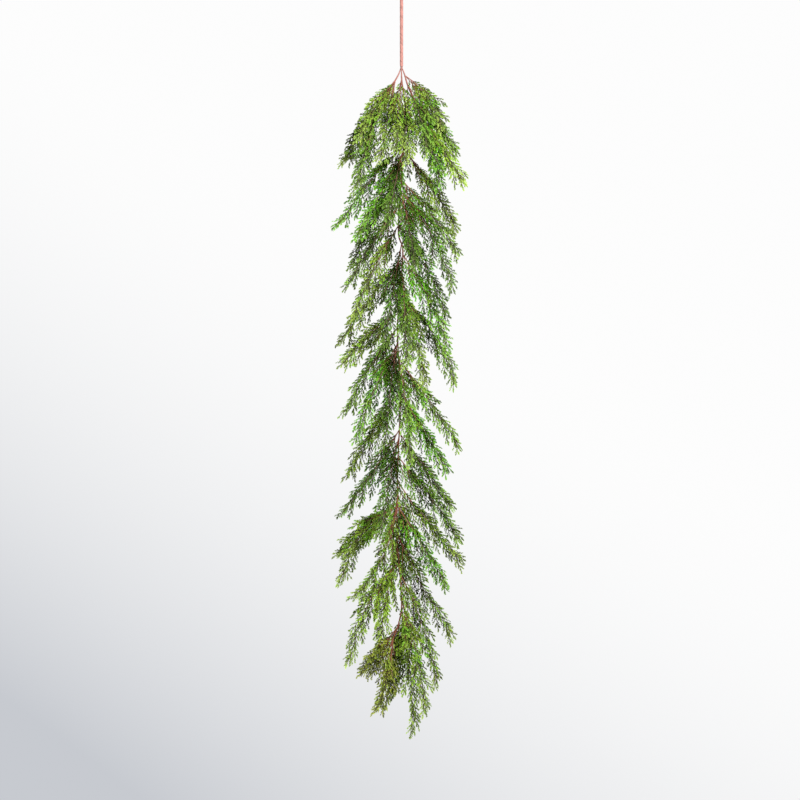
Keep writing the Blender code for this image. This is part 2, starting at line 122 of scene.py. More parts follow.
# Each spray: name, drop of its root, then side, depth and drop of its tip in millimetres,
# how far it bows (as a share of its length) and its leaf colour
LEFT_WIRE_SPRAYS = [
    ("left_01", 27, (-92, -34, 155), 0.07, "olive"),
    ("left_02", 73, (-122, 26, 199), 0.06, "olive"),
    ("left_03", 115, (-97, -40, 265), 0.05, "grey_green"),
    ("left_19", 27, (-44, -58, 205), 0.04, "olive"),
]
RIGHT_WIRE_SPRAYS = [
    ("right_01", 17, (90, -8, 126), 0.16, "olive"),
    ("right_02", 69, (118, 24, 179), 0.03, "grey_green"),
    ("right_03", 115, (136, -30, 253), 0.0, "light"),
    ("right_18", 35, (58, -52, 185), 0.10, "grey_green"),
    ("right_19", 101, (86, -68, 267), 0.08, "fresh"),
]
MAIN_WIRE_SPRAYS = [
    ("left_04", 174, (-139, 10, 349), 0.07, "fresh"),
    ("left_05", 209, (-95, -72, 381), 0.06, "fresh"),
    ("left_06", 247, (-110, 56, 435), 0.07, "grey_green"),
    ("left_07", 309, (-117, -20, 485), 0.06, "grey_green"),
    ("left_08", 354, (-105, -66, 559), 0.06, "olive"),
    ("left_09", 427, (-132, 40, 609), 0.05, "olive"),
    ("left_10", 552, (-123, -34, 658), 0.08, "olive"),
    ("left_11", 584, (-122, 20, 769), 0.06, "grey_green"),
    ("left_12", 728, (-120, 44, 916), 0.06, "olive"),
    ("left_13", 814, (-129, -26, 997), -0.03, "deep"),
    ("left_14", 988, (-133, -4, 1149), 0.27, "olive"),
    ("left_15", 984, (-102, -48, 1181), -0.22, "olive"),
    ("left_16", 1115, (-114, -36, 1327), 0.20, "light"),
    ("left_17", 1077, (-50, 18, 1299), 0.04, "light"),
    ("left_18", 1284, (-50, -12, 1431), -0.10, "russet"),
    ("left_20", 980, (-135, 40, 1090), 0.10, "olive"),
    ("left_21", 1258, (-80, 24, 1354), 0.02, "russet"),
    ("right_04", 181, (122, 48, 354), 0.05, "olive"),
    ("right_05", 250, (124, -16, 414), 0.04, "grey_green"),
    ("right_06", 277, (114, -68, 496), 0.13, "deep"),
    ("right_07", 351, (103, 44, 559), 0.10, "deep"),
    ("right_08", 419, (105, -22, 628), 0.07, "fresh"),
    ("right_09", 509, (121, 38, 705), 0.14, "grey_green"),
    ("right_10", 487, (54, -72, 709), 0.04, "olive"),
    ("right_11", 652, (129, -8, 848), 0.01, "grey_green"),
    ("right_12", 725, (100, -58, 898), -0.03, "fresh"),
    ("right_13", 875, (131, 36, 1063), 0.04, "grey_green"),
    ("right_14", 929, (131, -16, 1105), -0.05, "olive"),
    ("right_15", 984, (98, -66, 1153), 0.0, "fresh"),
    ("right_16", 1046, (114, 20, 1276), -0.07, "olive"),
    ("right_17", 1140, (80, -28, 1377), 0.10, "olive"),
    ("right_20", 820, (112, 44, 986), -0.02, "grey_green"),
    ("tip_right", 1213, (28, -20, 1485), 0.05, "light"),
    ("tip_left", 1241, (-14, 26, 1399), 0.06, "olive"),
    ("tip_front", 1197, (54, -44, 1438), 0.08, "olive"),
    ("front_01", 23, (-10, -60, 187), 0.10, "olive"),
    ("front_02", 79, (14, -78, 207), 0.10, "olive"),
    ("front_03", 179, (-26, -92, 349), 0.10, "deep"),
    ("front_04", 277, (30, -96, 451), 0.10, "deep"),
    ("front_05", 395, (-38, -92, 623), 0.02, "deep"),
    ("front_06", 455, (12, -98, 665), 0.08, "grey_green"),
    ("front_07", 613, (-36, -92, 845), 0.10, "deep"),
    ("front_08", 648, (20, -98, 881), 0.10, "grey_green"),
    ("front_09", 830, (-46, -92, 1043), 0.06, "deep"),
    ("front_10", 619, (-98, -70, 831), 0.08, "fresh"),
    ("back_01", 940, (6, 40, 1150), -0.04, "olive"),
]
WIRES = {
    "left_wire": (math.radians(150), LEFT_WIRE, LEFT_WIRE_SPRAYS, "wrapped_wire"),
    "right_wire": (math.radians(30), RIGHT_WIRE, RIGHT_WIRE_SPRAYS, "wrapped_wire"),
    "main_wire": (math.radians(270), MAIN_WIRE, MAIN_WIRE_SPRAYS, "wrapped_bark"),
}

# How finely curves are sampled, and the step on a spray's line that shows its direction
LINE_STEP = 0.01
LOOP_POINTS = 64
TAPE_ROWS, TAPE_SIDES = 60, 32
WIRE_STEP, WIRE_SIDES = 0.0014, 10
RUN_POINTS_PER_SPAN = 12
STALK_POINTS, STALK_SIDES = 8, 7
RIB_POINTS, RIB_SIDES = 14, 6
TWIG_POINTS, TWIG_SIDES = 5, 4
BEND_POINTS = 24
SHARP_ANGLE = math.radians(50)

# Finer leaves than the solids carry: what each twig, twiglet and leaflet does. A draw is the
# range of a random factor
RIB_ROOT_RADIUS, RIB_TIP_RADIUS = 0.0011, 0.0005
RIB_INSET = 0.02
INFILL_LENGTHS = (0.40, 0.85)
INFILL_LEANS = np.radians([12, 30])
INFILL_TILTS = np.radians([-48, 52])
INNER_TWIGS = 4
INNER_PLACES = (0.1, 1.0)
INNER_LENGTHS = (0.65, 1.1)
INNER_LEANS = np.radians([6, 30])
INNER_TILTS = np.radians([-60, 60])
TWIG_SAG = 0.04
TWIG_ROOT_RADIUS, TWIG_TIP_RADIUS = 0.0009, 0.0005
BARE_TWIG = 0.16
TWIG_REACH = 0.3
FEWEST_TWIGLETS = 3
TWIGLET_LEAN, TWIGLET_LEAN_DRAW = math.radians(27), (0.55, 1.3)
TWIGLET_LENGTH_DRAW = (0.6, 1.25)
TWIGLET_LIFT = 0.30
TWIGLET_TAPER = 0.45
TWIGLET_RADIUS = 0.0009
RIB_TWIGLET_START, RIB_TWIGLET_TAPER = 0.04, 0.3
RIB_TWIGLET_LENGTH_DRAW = (0.75, 1.1)
LEAFLET_SHARES = np.array([0.14, 0.31, 0.48, 0.64, 0.80, 0.94])
LEAFLET_SIDES = np.array([1, -1, 1, -1, 1, -0.2])
LEAFLET_SLIP = 0.06
LEAFLET_LEAN, LEAFLET_LEAN_DRAW = math.radians(21), (0.6, 1.25)
LEAFLET_ROLL = 0.8
LEAFLET_SIZE_DRAW = (0.75, 1.2)

# Tones, from 0 in the shade to 1 in the light, spread at random by spray, twig, twiglet and leaflet
SPRAY_TONES = (0.38, 0.66)
RIB_TONE_SPREAD, TWIG_TONE_SPREAD = 0.10, 0.20
TWIGLET_TONE_SPREAD, LEAFLET_TONE_SPREAD = 0.28, 0.28
# Painted shade: tone taken off twiglets lifted to the back, twigs tilted to the back and twiglet
# spikes
LIFT_PAINTED_SHADE, TILT_PAINTED_SHADE, CORE_PAINTED_SHADE = 0.55, 0.16, 0.3

# Outline of a leaflet seen flat, from its base: share of its length, share of its half width
LEAFLET_OUTLINE = [(0, 0), (0.42, -1.0), (0.90, -0.62), (0.90, 0.62), (0.42, 1.0)]
LEAFLET_CROWN = 0.55

# Leaf colours. A noise is its scale and detail, and a range carries its first two numbers to
# its last two, or to 0 and 1
PATCH_NOISE, PATCH_RANGE = (38.0, 3.0), (0.3, 0.7, -0.3, 0.3)
STRAY_NOISE, STRAY_RANGE = (47.0, 1.0), (0.48, 0.66, 0.0, 0.8)
GRAIN_NOISE, LEAF_ROUGHNESS_RANGE = (900.0, 2.0), (0.3, 0.7, 0.46, 0.64)
# Young colour by place on the spray, for fresh growth, and by tone, as a painted highlight
YOUTH_BY_PLACE, HIGHLIGHT_BY_TONE = (0.45, 1.15), (0.2, 0.9, 0.25, 0.70)
# Leaflet tips young; leaflet roots darker, as painted shade
LEAFLET_TIP_RANGE, LEAFLET_ROOT_SHADE_RANGE = (0.5, 1.0, 0.0, 0.35), (0.0, 0.5, 0.35, 1.0)
# Painted shade: the shaded colour, as shares of the grown one
SHADED_SHARES = (0.05, 0.07, 0.02)
YOUNGEST_LEAF = (0.60, 0.66, 0.24)
YOUNG_SHARES = {"olive": 0.34, "grey_green": 0.34, "deep": 0.24, "fresh": 0.24, "light": 0.5,
                "russet": 0.32}
USUAL_STRAY, OTHER_STRAYS = "fresh", {"fresh": "olive", "light": "olive", "russet": "olive"}
LEAF_GLOSS = 0.06

# Bark of ribs and twigs, and wound paper, in the same terms
STEM_GREENING = (0.02, 0.55)
STEM_NOISE, STEM_NOISE_RANGE = (90.0, 2.0), (0.3, 0.7, -0.15, 0.15)
STEM_ROUGHNESS = 0.6
CRINKLE_NOISE, CRINKLE_STRETCH = (520.0, 3.0), (1, 1, 0.35)
# Painted shade and light: paper darker in the crinkles' hollows and lighter on their ridges
CRINKLE_SHADE_RANGE, PAPER_ROUGHNESS_RANGE = (0.35, 0.65, 0.88, 1.1), (0.3, 0.7, 0.68, 0.9)
BLOTCH_NOISE, BLOTCH_RANGE = (60.0, 2.0), (0.35, 0.75, -0.1, 0.35)
# Painted shade: paper darkened under the lap where one turn meets the next
LAP_SHADE_RANGE = (0.0, 0.28, 0.75, 0.0)
# Darker paper for the painted shade at the laps and for the blotches, as a share of the paper
SHADE_AND_BLOTCH_SHARE = 0.45
PAPER_GLOSS = 0.3
FADE_TOP, FADE_BOTTOM = FORK_Z + 0.01, FORK_Z - 0.05

# Relief, as the strength and distance of its bump
LEAF_RELIEF, PAPER_RELIEF = (0.25, 0.0004), (0.5, 0.0005)

# The camera's sensor, in millimetres, and the place and size of each light
SENSOR_WIDTH = 36.0
LIGHTS = {
    "key": ((1.6, -2.6, 1.1), 0.9),
    "fill": ((-2.2, -2.8, -0.9), 2.4),
    "rim": ((-1.8, 0.9, -0.2), 1.6),
}

# The backdrop: its sizes, its matt floor, and how far up from the floor its glow is full
FLOOR_FRONT, WALL_TOP, HALF_WIDTH = -5.0, 2.2, 4.5
FLOOR_COLOUR, FLOOR_ROUGHNESS = (0.82, 0.82, 0.83, 1), 0.9
GLOW_RISE = 0.1

# The wall's shade: its colours where it is clear and full, its slant and the run that it takes,
# both in pixels of a picture of that size, and the power by which it deepens
WALL_CLEAR, WALL_SHADED = (0.98, 0.98, 0.98, 1), (0.57, 0.59, 0.63, 1)
PICTURE_SIZE = 800
SHADE_SLANT, SHADE_RUN, SHADE_POWER = 0.66, 695, 2.0


def below_fork(side_depth_drop):
    """Points given in millimetres from the fork, as metres in the garland's frame."""
    side, depth, drop = np.asarray(side_depth_drop, float).T * MILLIMETRE
    return np.stack([side, depth, FORK_Z - drop], axis=-1)


def unit(vectors):
    """Each vector divided by its length."""
    return vectors / np.linalg.norm(vectors, axis=-1, keepdims=True)


def square_to(vectors, ways):
    """Each vector less its part along its way, which leaves it square to that way, made unit."""
    return unit(vectors - ways * (vectors * ways).sum(-1, keepdims=True))


def smooth_path(knots, per_span):
    """Catmull-Rom curve: each span is a cubic of its two knots and the knot on either side."""
    padded = np.vstack([2 * knots[0] - knots[1], knots, 2 * knots[-1] - knots[-2]])
    a, b, c, d = (padded[first:first + len(knots) - 1] for first in range(4))
    t = np.linspace(0, 1, per_span, endpoint=False)[:, None, None]
    spans = 0.5 * (2 * b + (c - a) * t + (2 * a - 5 * b + 4 * c - d) * t**2
                   + (3 * b - a - 3 * c + d) * t**3)
    return np.vstack([spans.transpose(1, 0, 2).reshape(-1, 3), knots[-1:]])


def lengths_along(points):
    """Distance of each point from the first, measured along the path."""
    steps = np.linalg.norm(np.diff(points, axis=0), axis=1)
    return np.concatenate([[0.0], np.cumsum(steps)])


def even_path(points, step):
    """The same path with its points a step apart, and how far along each one is."""
    along = lengths_along(points)
    even = np.linspace(0, along[-1], max(2, round(along[-1] / step) + 1))
    return np.stack([np.interp(even, along, axis) for axis in points.T], axis=-1), even


def wire_path(angle, knots):
    """A whole wire: straight down inside the tape, on its side of the bundle, then its run."""
    side, depth = BUNDLE_RADIUS * math.cos(angle), BUNDLE_RADIUS * math.sin(angle)
    fork = np.array([[side, depth, FORK_Z]])
    run = smooth_path(np.vstack([fork, below_fork(knots)]), RUN_POINTS_PER_SPAN)
    return np.vstack([[side, depth, WIRE_TOP], run])


def point_at_drop(path, drop):
    """The point of a wire at a drop below the fork, in millimetres."""
    z = FORK_Z - drop * MILLIMETRE
    order = np.argsort(path[:, 2])
    return np.array([np.interp(z, path[order, 2], path[order, axis]) for axis in range(3)])


def spray_line(root, tip, bow):
    """A spray's line as a function of 0 to 1: a parabola from root to tip, bowed up and out."""
    chord = tip - root
    outward = np.array([chord[0], chord[1], 0.0]) / np.hypot(chord[0], chord[1])
    lift = BOW_OUT * outward + np.array([0, 0, BOW_UP])
    middle = (root + tip) / 2 + bow * np.linalg.norm(chord) * lift

    def line(t):
        """Points at shares of the line, where 0 is the root and 1 the tip."""
        t = np.asarray(t, float)[..., None]
        return (1 - t) ** 2 * root + 2 * t * (1 - t) * middle + t**2 * tip

    return line


def turned_about(vector, axis, angle):
    """The vector turned about an axis: its part along the axis stays and the rest turns."""
    axis = unit(axis)
    along = axis * (vector @ axis)
    across = vector - along
    return along + across * math.cos(angle) + np.cross(axis, across) * math.sin(angle)


def new_object(name, data):
    """An object in the scene with this data, at the origin."""
    made = bpy.data.objects.new(name, data)
    bpy.context.scene.collection.objects.link(made)
    return made


class Surface:
    """Closed forms gathered into one mesh, with numbers on its points for the materials."""

    MARKS = ("tone", "outward", "along", "lap")

    def __init__(self):
        self.verts, self.faces, self.slots = [], [], []
        self.marks = {mark: [] for mark in self.MARKS}
        self.count = 0

    def add(self, verts, faces, slot=0, **marks):
        """Adds copies of one form: points by copy, its triangles, its slot and its marks."""
        copies, size = verts.shape[:2]
        first = self.count + size * np.arange(copies)
        self.verts.append(verts.reshape(-1, 3))
        self.faces.append((faces + first[:, None, None]).reshape(-1, 3))
        self.slots.append(np.full(copies * len(faces), slot))
        for mark, values in self.marks.items():
            values.append(np.broadcast_to(marks.get(mark, 0.0), (copies, size)).ravel())
        self.count += copies * size

    def as_piece(self, name, materials, solid, slot):
        """The mesh as a finished piece that rides on the body in place of a solid."""
        mesh = bpy.data.meshes.new(name)
        mesh.from_pydata(np.vstack(self.verts), [], np.vstack(self.faces))
        mesh.polygons.foreach_set("material_index", np.concatenate(self.slots).astype(np.int32))
        for mark, values in self.marks.items():
            attribute = mesh.attributes.new(mark, "FLOAT", "POINT")
            attribute.data.foreach_set("value", np.concatenate(values).astype(np.float32))
        for material in materials:
            mesh.materials.append(material)
        mesh.shade_smooth()
        mesh.set_sharp_from_angle(angle=SHARP_ANGLE)
        piece = new_object(name, mesh)
        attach(piece, "root")
        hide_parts(solid)
        return piece


def band_faces(ring, after, sides):
    """Two triangles on each side of each band, from one ring of points to the ring after it.

    Each ring is given by the number of its first point.
    """
    column = np.arange(sides)
    beside = (column + 1) % sides
    a, b, c, d = ring + column, ring + beside, after + column, after + beside
    return np.stack([a, c, d, a, d, b], axis=-1).reshape(-1, 3)


def tubes(points, radii, front, sides):
    """Closed round tubes, one for each row of points, with the number of sides asked for.

    Around each point lies a ring: the point plus the radius times side * cos + up * sin of the
    ring's angle, where side is the path's direction crossed with the front, and up completes
    them. A point in the middle of each end closes the tube.
    """
    ahead = unit(np.gradient(points, axis=1))
    side = unit(np.cross(ahead, np.broadcast_to(front, points.shape)))
    up = np.cross(side, ahead)
    angle = np.linspace(0, 2 * math.pi, sides, endpoint=False)[:, None]
    spokes = side[:, :, None] * np.cos(angle) + up[:, :, None] * np.sin(angle)
    rings = points[:, :, None] + radii[..., None] * spokes
    copies, rows = points.shape[:2]
    verts = np.concatenate([rings.reshape(copies, rows * sides, 3), points[:, :1],
                            points[:, -1:]], axis=1)
    ring = sides * np.arange(rows - 1)[:, None]
    walls = band_faces(ring, ring + sides, sides)
    column = np.arange(sides)
    beside = (column + 1) % sides
    last = sides * (rows - 1)
    start = np.stack([np.full(sides, rows * sides), column, beside], axis=-1)
    end = np.stack([np.full(sides, rows * sides + 1), last + beside, last + column], axis=-1)
    return verts, np.vstack([walls, start, end])


def per_ring(values, sides):
    """Values given ring by ring, as values for each point of the tubes, ends included."""
    return np.concatenate([np.repeat(values, sides, axis=1), values[:, :1], values[:, -1:]],
                          axis=1)


def spikes(base, tip, radius, front):
    """Three-sided spikes: a small triangle about each base, drawn out to the tip."""
    ahead = unit(tip - base)
    side = unit(np.cross(ahead, front))
    up = np.cross(side, ahead)
    angle = np.radians([0, 120, 240])[:, None]
    ring = base[:, None] + radius * (side[:, None] * np.cos(angle) + up[:, None] * np.sin(angle))
    faces = np.array([(0, 3, 1), (1, 3, 2), (2, 3, 0), (0, 1, 2)])
    return np.concatenate([ring, tip[:, None]], axis=1), faces


def leaflets(base, along, normal, length, width, thickness):
    """Closed leaflets: a flat outline with a crown on its face and a flat back.

    Each point is the base plus along, across and normal times the leaflet's length, half width
    and thickness, in the shares that the outline gives.
    """
    across = np.cross(normal, along)
    shares = np.array([(x, y, 0) for x, y in LEAFLET_OUTLINE] + [(LEAFLET_CROWN, 0, 1)])
    axes = np.stack([along * length[:, None], across * width[:, None] / 2,
                     normal * thickness], axis=1)
    edge = len(LEAFLET_OUTLINE)
    ring = np.arange(edge)
    beside = (ring + 1) % edge
    face = np.stack([np.full(edge, edge), ring, beside], axis=-1)
    back = np.stack([np.zeros(edge - 2, int), ring[2:], ring[1:-1]], axis=-1)
    return base[:, None] + shares @ axes, np.vstack([face, back]), shares[:, 0]


# The twigs of a spray, as arrays with a row for each twig
Twigs = namedtuple("Twigs", "share length tilt back root run sag")


class Spray:
    """The lines of one spray: its stalk, its rib and the twigs that stand on its rib."""

    def __init__(self, row, path):
        self.name, drop, tip, bow, self.colour = row
        self.solid = "spray_" + self.name
        draw = random.Random(f"{SEED} {self.solid}")
        self.line = spray_line(point_at_drop(path, drop), below_fork(tip), bow)
        self.stalk_share = draw.uniform(*STALK_SHARES)
        roll = draw.uniform(-SPRAY_ROLL, SPRAY_ROLL)
        self.facing = turned_about(FACING, self.line(1.0) - self.line(0.0), roll)
        self.draws = np.array([[draw.uniform(*TILT_DRAW), draw.uniform(*LEAN_DRAW),
                                draw.uniform(*LENGTH_DRAW)] for _ in range(TWIGS)])

    def on_rib(self, share):
        """A share of the rib, from 0 to 1, as a share of the whole line."""
        return self.stalk_share + (1 - self.stalk_share) * share

    def frames(self, t):
        """Place, side, back and ahead at shares of the line: side is ahead crossed with the
        facing, and back is ahead crossed with side."""
        place = self.line(t)
        ahead = unit(self.line(np.asarray(t) + LINE_STEP) - place)
        side = unit(np.cross(ahead, self.facing))
        return place, side, np.cross(ahead, side), ahead

    def twig_rules(self, fine):
        """Share of the rib, hand, tilt, lean and length of every twig.

        The first nine follow the same rule as the nine of the solid: they take turns on the left
        and the right, tilted to the front and the back in turn, and get shorter by a power of
        the share that is left to the tip. One more stands between each two of them, and a few
        stand on the stalk, with leans and tilts drawn at random.
        """
        k = np.arange(TWIGS)
        main_share = TWIG_START + (TWIG_END - TWIG_START) * k / (TWIGS - 1)
        infill, inner = TWIGS - 1, INNER_TWIGS
        infill_share = (main_share[:-1] + main_share[1:]) / 2
        on_stalk = self.stalk_share * np.linspace(*INNER_PLACES, inner)
        inner_share = (on_stalk - self.stalk_share) / (1 - self.stalk_share)
        share = np.concatenate([main_share, infill_share, inner_share])
        hand = np.concatenate([(-1.0) ** k, -((-1.0) ** k[:infill]), (-1.0) ** k[:inner]])
        tilt = np.concatenate([TWIG_TILTS[k // 2 % 2] * self.draws[:, 0],
                               fine.uniform(*INFILL_TILTS, infill),
                               fine.uniform(*INNER_TILTS, inner)])
        lean = np.concatenate([TWIG_LEAN * self.draws[:, 1], fine.uniform(*INFILL_LEANS, infill),
                               fine.uniform(*INNER_LEANS, inner)])
        rule = (TWIG_SHORTEST + (TWIG_LONGEST - TWIG_SHORTEST)
                * (1 - np.maximum(share, 0)) ** TWIG_TAPER)
        scale = np.concatenate([self.draws[:, 2], fine.uniform(*INFILL_LENGTHS, infill),
                                fine.uniform(*INNER_LENGTHS, inner)])
        return share, hand, tilt, lean, rule * scale

    def twigs(self, fine):
        """The lines of all twigs, each a parabola that leans from the rib's way and droops.

        A twig's line is its root, plus its run times a share from 0 to 1, plus its sag times the
        share squared. The run is its length times its way, and the sag takes it back towards
        ahead. The way is ahead times the cosine of its lean, plus across times the sine, plus
        the droop. Across is side, turned to its hand, times the cosine of its tilt, plus back
        times the sine.
        """
        share, hand, tilt, lean, length = self.twig_rules(fine)
        root, side, back, ahead = self.frames(self.on_rib(share))
        across = (hand * np.cos(tilt))[:, None] * side + np.sin(tilt)[:, None] * back
        way = unit(np.sin(lean)[:, None] * across + np.cos(lean)[:, None] * ahead + TWIG_DROOP)
        sag = (TWIG_SAG * length)[:, None] * (ahead - way)
        return Twigs(share, length, tilt, back, root, length[:, None] * way, sag)


class Foliage(Surface):
    """The rib, twigs, twiglets and leaflets of one spray, varied by random draws."""

    def __init__(self, spray, leaf, fine):
        super().__init__()
        self.spray, self.leaf, self.fine = spray, leaf, fine
        self.shade = fine.uniform(*SPRAY_TONES)

    def add_rib(self):
        """The rib: a tube on the spray's line, from inside its stalk to the tip, evenly thinner."""
        t = np.linspace(self.spray.on_rib(-RIB_INSET), 1, RIB_POINTS)
        place, _, back, _ = self.spray.frames(t)
        radii = np.linspace(RIB_ROOT_RADIUS, RIB_TIP_RADIUS, RIB_POINTS)[None, :, None]
        outward = np.linspace(0, 1, RIB_POINTS)[None]
        self.add(*tubes(place[None], radii, back[None], RIB_SIDES), slot=1, tone=self.shade,
                 outward=per_ring(outward, RIB_SIDES))

    def add_rib_leaves(self):
        """Twiglets at even shares of the rib, in turn left and right, and one on from its tip.

        Each is as long as its draw, less a taper times its share of the rib.
        """
        span = np.linalg.norm(self.spray.line(1.0) - self.spray.line(self.spray.stalk_share))
        count = round(float(span) / self.leaf.spacing)
        share = np.linspace(RIB_TWIGLET_START, 1, count)
        hands = (-1.0) ** np.arange(count)
        hands[-1] = 0
        lengths = (self.leaf.twiglet * self.fine.uniform(*RIB_TWIGLET_LENGTH_DRAW, count)
                   * (1 - RIB_TWIGLET_TAPER * share))
        tone = self.shade + RIB_TONE_SPREAD * self.fine.standard_normal(count)
        self.add_twiglets(self.spray.frames(self.spray.on_rib(share)), lengths, hands, tone, share)

    def add_twigs(self):
        """Every twig: a tube on its line, evenly thinner to its tip, with its leaves.

        It counts as further outward on the spray by its share of the rib, plus its reach times
        the share of its own length.
        """
        twigs = self.spray.twigs(self.fine)
        t = np.linspace(0, 1, TWIG_POINTS)[:, None]
        points = twigs.root[:, None] + t * twigs.run[:, None] + t**2 * twigs.sag[:, None]
        radii = np.linspace(TWIG_ROOT_RADIUS, TWIG_TIP_RADIUS, TWIG_POINTS)[None, :, None]
        spread = TWIG_TONE_SPREAD * self.fine.standard_normal(len(points))
        # Painted shade: twigs tilted to the back are darker
        tone = self.shade - TILT_PAINTED_SHADE * np.sign(twigs.tilt) + spread
        reach = twigs.length / TWIG_LONGEST * TWIG_REACH
        outward = twigs.share[:, None] + reach[:, None] * t[:, 0]
        self.add(*tubes(points, radii, twigs.back[:, None], TWIG_SIDES), slot=1,
                 tone=tone[:, None], outward=per_ring(outward, TWIG_SIDES))
        self.add_twig_leaves(twigs, tone)

    def add_twig_leaves(self, twigs, tone):
        """Twiglets at even shares of every twig, in turn left and right, and one on from its tip.

        Ahead is the slope of the twig's line: its run plus twice the share times its sag. Each
        twiglet is as long as its draw, less a taper times its share of the twig.
        """
        counts = np.round(twigs.length / self.leaf.spacing).astype(int)
        counts = np.maximum(FEWEST_TWIGLETS, counts)
        owner = np.repeat(np.arange(len(counts)), counts)
        rank = np.arange(len(owner)) - np.repeat(np.cumsum(counts) - counts, counts)
        s = (BARE_TWIG + (1 - BARE_TWIG) * rank / (counts[owner] - 1))[:, None]
        run, sag, back = twigs.run[owner], twigs.sag[owner], twigs.back[owner]
        place = twigs.root[owner] + s * run + s**2 * sag
        ahead = unit(run + 2 * s * sag)
        back = square_to(back, ahead)
        hands = np.where(rank == counts[owner] - 1, 0.0, (-1.0) ** rank)
        lengths = (self.leaf.twiglet * (1 - TWIGLET_TAPER * s[:, 0])
                   * self.fine.uniform(*TWIGLET_LENGTH_DRAW, len(owner)))
        outward = twigs.share[owner] + TWIG_REACH * s[:, 0] * twigs.length[owner] / TWIG_LONGEST
        frames = place, np.cross(back, ahead), back, ahead
        self.add_twiglets(frames, lengths, hands, tone[owner], outward)

    def add_twiglets(self, frames, length, hand, tone, outward):
        """Twiglets with their leaflets, one from each frame: its place, side, back and ahead.

        A twiglet is a spike, darker than its leaflets as painted shade. Its way is ahead times the
        cosine of its lean, plus side times the sine, turned to its hand, plus back times a random
        lift. A lift to the back darkens it and its leaflets, as painted shade.
        """
        place, side, back, ahead = frames
        count = len(place)
        lean = TWIGLET_LEAN * self.fine.uniform(*TWIGLET_LEAN_DRAW, count) * np.abs(hand)
        lift = self.fine.uniform(-TWIGLET_LIFT, TWIGLET_LIFT, count)
        way = unit(np.cos(lean)[:, None] * ahead + (np.sin(lean) * hand)[:, None] * side
                   + lift[:, None] * back)
        run = way * length[:, None]
        spread = TWIGLET_TONE_SPREAD * self.fine.standard_normal(count)
        # Painted shade: twiglets lifted to the back are darker
        tone = tone - LIFT_PAINTED_SHADE * lift + spread
        # Painted shade: each spike is darker than its leaflets
        self.add(*spikes(place, place + run, TWIGLET_RADIUS, back),
                 tone=tone[:, None] - CORE_PAINTED_SHADE, outward=outward[:, None])
        self.add_leaflets(place, run, back, tone, outward)

    def add_leaflets(self, place, run, back, tone, outward):
        """Leaflets in turn on the left and the right of every twiglet, at shares of its run.

        A leaflet's length lies along its twiglet's way times the cosine of its lean, plus across
        times the sine; the last one leans little. Its normal is the twiglet's back, square to
        that length and turned about it by a random roll.
        """
        count, each = len(place), len(LEAFLET_SHARES)
        way = unit(run)
        on = LEAFLET_SHARES + self.fine.uniform(-LEAFLET_SLIP, LEAFLET_SLIP, (count, each))
        sides = LEAFLET_SIDES * np.where(self.fine.random(count) < 0.5, -1, 1)[:, None]
        base = place[:, None] + run[:, None] * on[..., None]
        turn = LEAFLET_LEAN * self.fine.uniform(*LEAFLET_LEAN_DRAW, (count, each)) * sides
        across = unit(np.cross(back, way))
        along = np.cos(turn)[..., None] * way[:, None] + np.sin(turn)[..., None] * across[:, None]
        along = along.reshape(-1, 3)
        roll = self.fine.uniform(-LEAFLET_ROLL, LEAFLET_ROLL, count * each)[:, None]
        normal = square_to(np.repeat(back, each, axis=0), along)
        normal = np.cos(roll) * normal + np.sin(roll) * np.cross(along, normal)
        size = self.fine.uniform(*LEAFLET_SIZE_DRAW, count * each)
        verts, faces, shares = leaflets(base.reshape(-1, 3), along, normal,
                                        self.leaf.length * size, self.leaf.width * size,
                                        self.leaf.thickness)
        spread = LEAFLET_TONE_SPREAD * self.fine.standard_normal(count * each)
        tone = np.clip(np.repeat(tone, each) + spread, 0, 1)
        self.add(verts, faces, tone=tone[:, None], along=shares,
                 outward=np.repeat(outward, each)[:, None])


def wound_radii(along, sides, radius, pitch, lap):
    """Radii of a wire wound with paper: the radius grows by one lap in each turn of the tape,
    then steps back. How far it has grown, from 0 to 1, is the angle's share of a turn plus the
    length's share of the pitch, less the whole turns."""
    turn = np.arange(sides) / sides
    grown = (turn + along[:, None] / pitch) % 1
    return (radius[:, None] + lap * (grown - 0.5))[None], grown[None]


def wire_radius(points):
    """A wire's radius by height: bare in the tape, thicker just below the fork, then thinning."""
    heights = [FORK_Z - WIRE_DROP, FORK_Z - WIRE_SWELL, FORK_Z]
    return np.interp(points[:, 2], heights, [WIRE_END_RADIUS, WIRE_RADIUS, BOUND_RADIUS])


def add_wire(surface, path, radius_of, pitch, lap):
    """A paper-wound wire: a tube along a path, with the wound radii of its points."""
    points, along = even_path(path, WIRE_STEP)
    radii, grown = wound_radii(along, WIRE_SIDES, radius_of(points), pitch, lap)
    verts, faces = tubes(points[None], radii, FACING, WIRE_SIDES)
    laps = np.concatenate([grown.reshape(1, -1), grown[:, 0, :1], grown[:, -1, :1]], axis=1)
    surface.add(verts, faces, lap=laps)


def loop_path():
    """The loop's middle line: up one leg, round most of a circle, and down the other leg."""
    radius = LOOP_INNER_RADIUS + LOOP_WIRE_RADIUS
    turn = np.linspace(EYE_START, EYE_END, LOOP_POINTS)
    eye = np.stack([radius * np.cos(turn), 0 * turn,
                    radius * np.sin(turn) - LOOP_INNER_RADIUS], axis=-1)
    leg_side = BUNDLE_RADIUS + BOUND_RADIUS - LOOP_WIRE_RADIUS
    legs = np.array([(leg_side, 0, LEG_END), (leg_side, 0, LEG_TOP)])
    return np.vstack([legs, eye, legs[::-1] * (-1, 1, 1)])


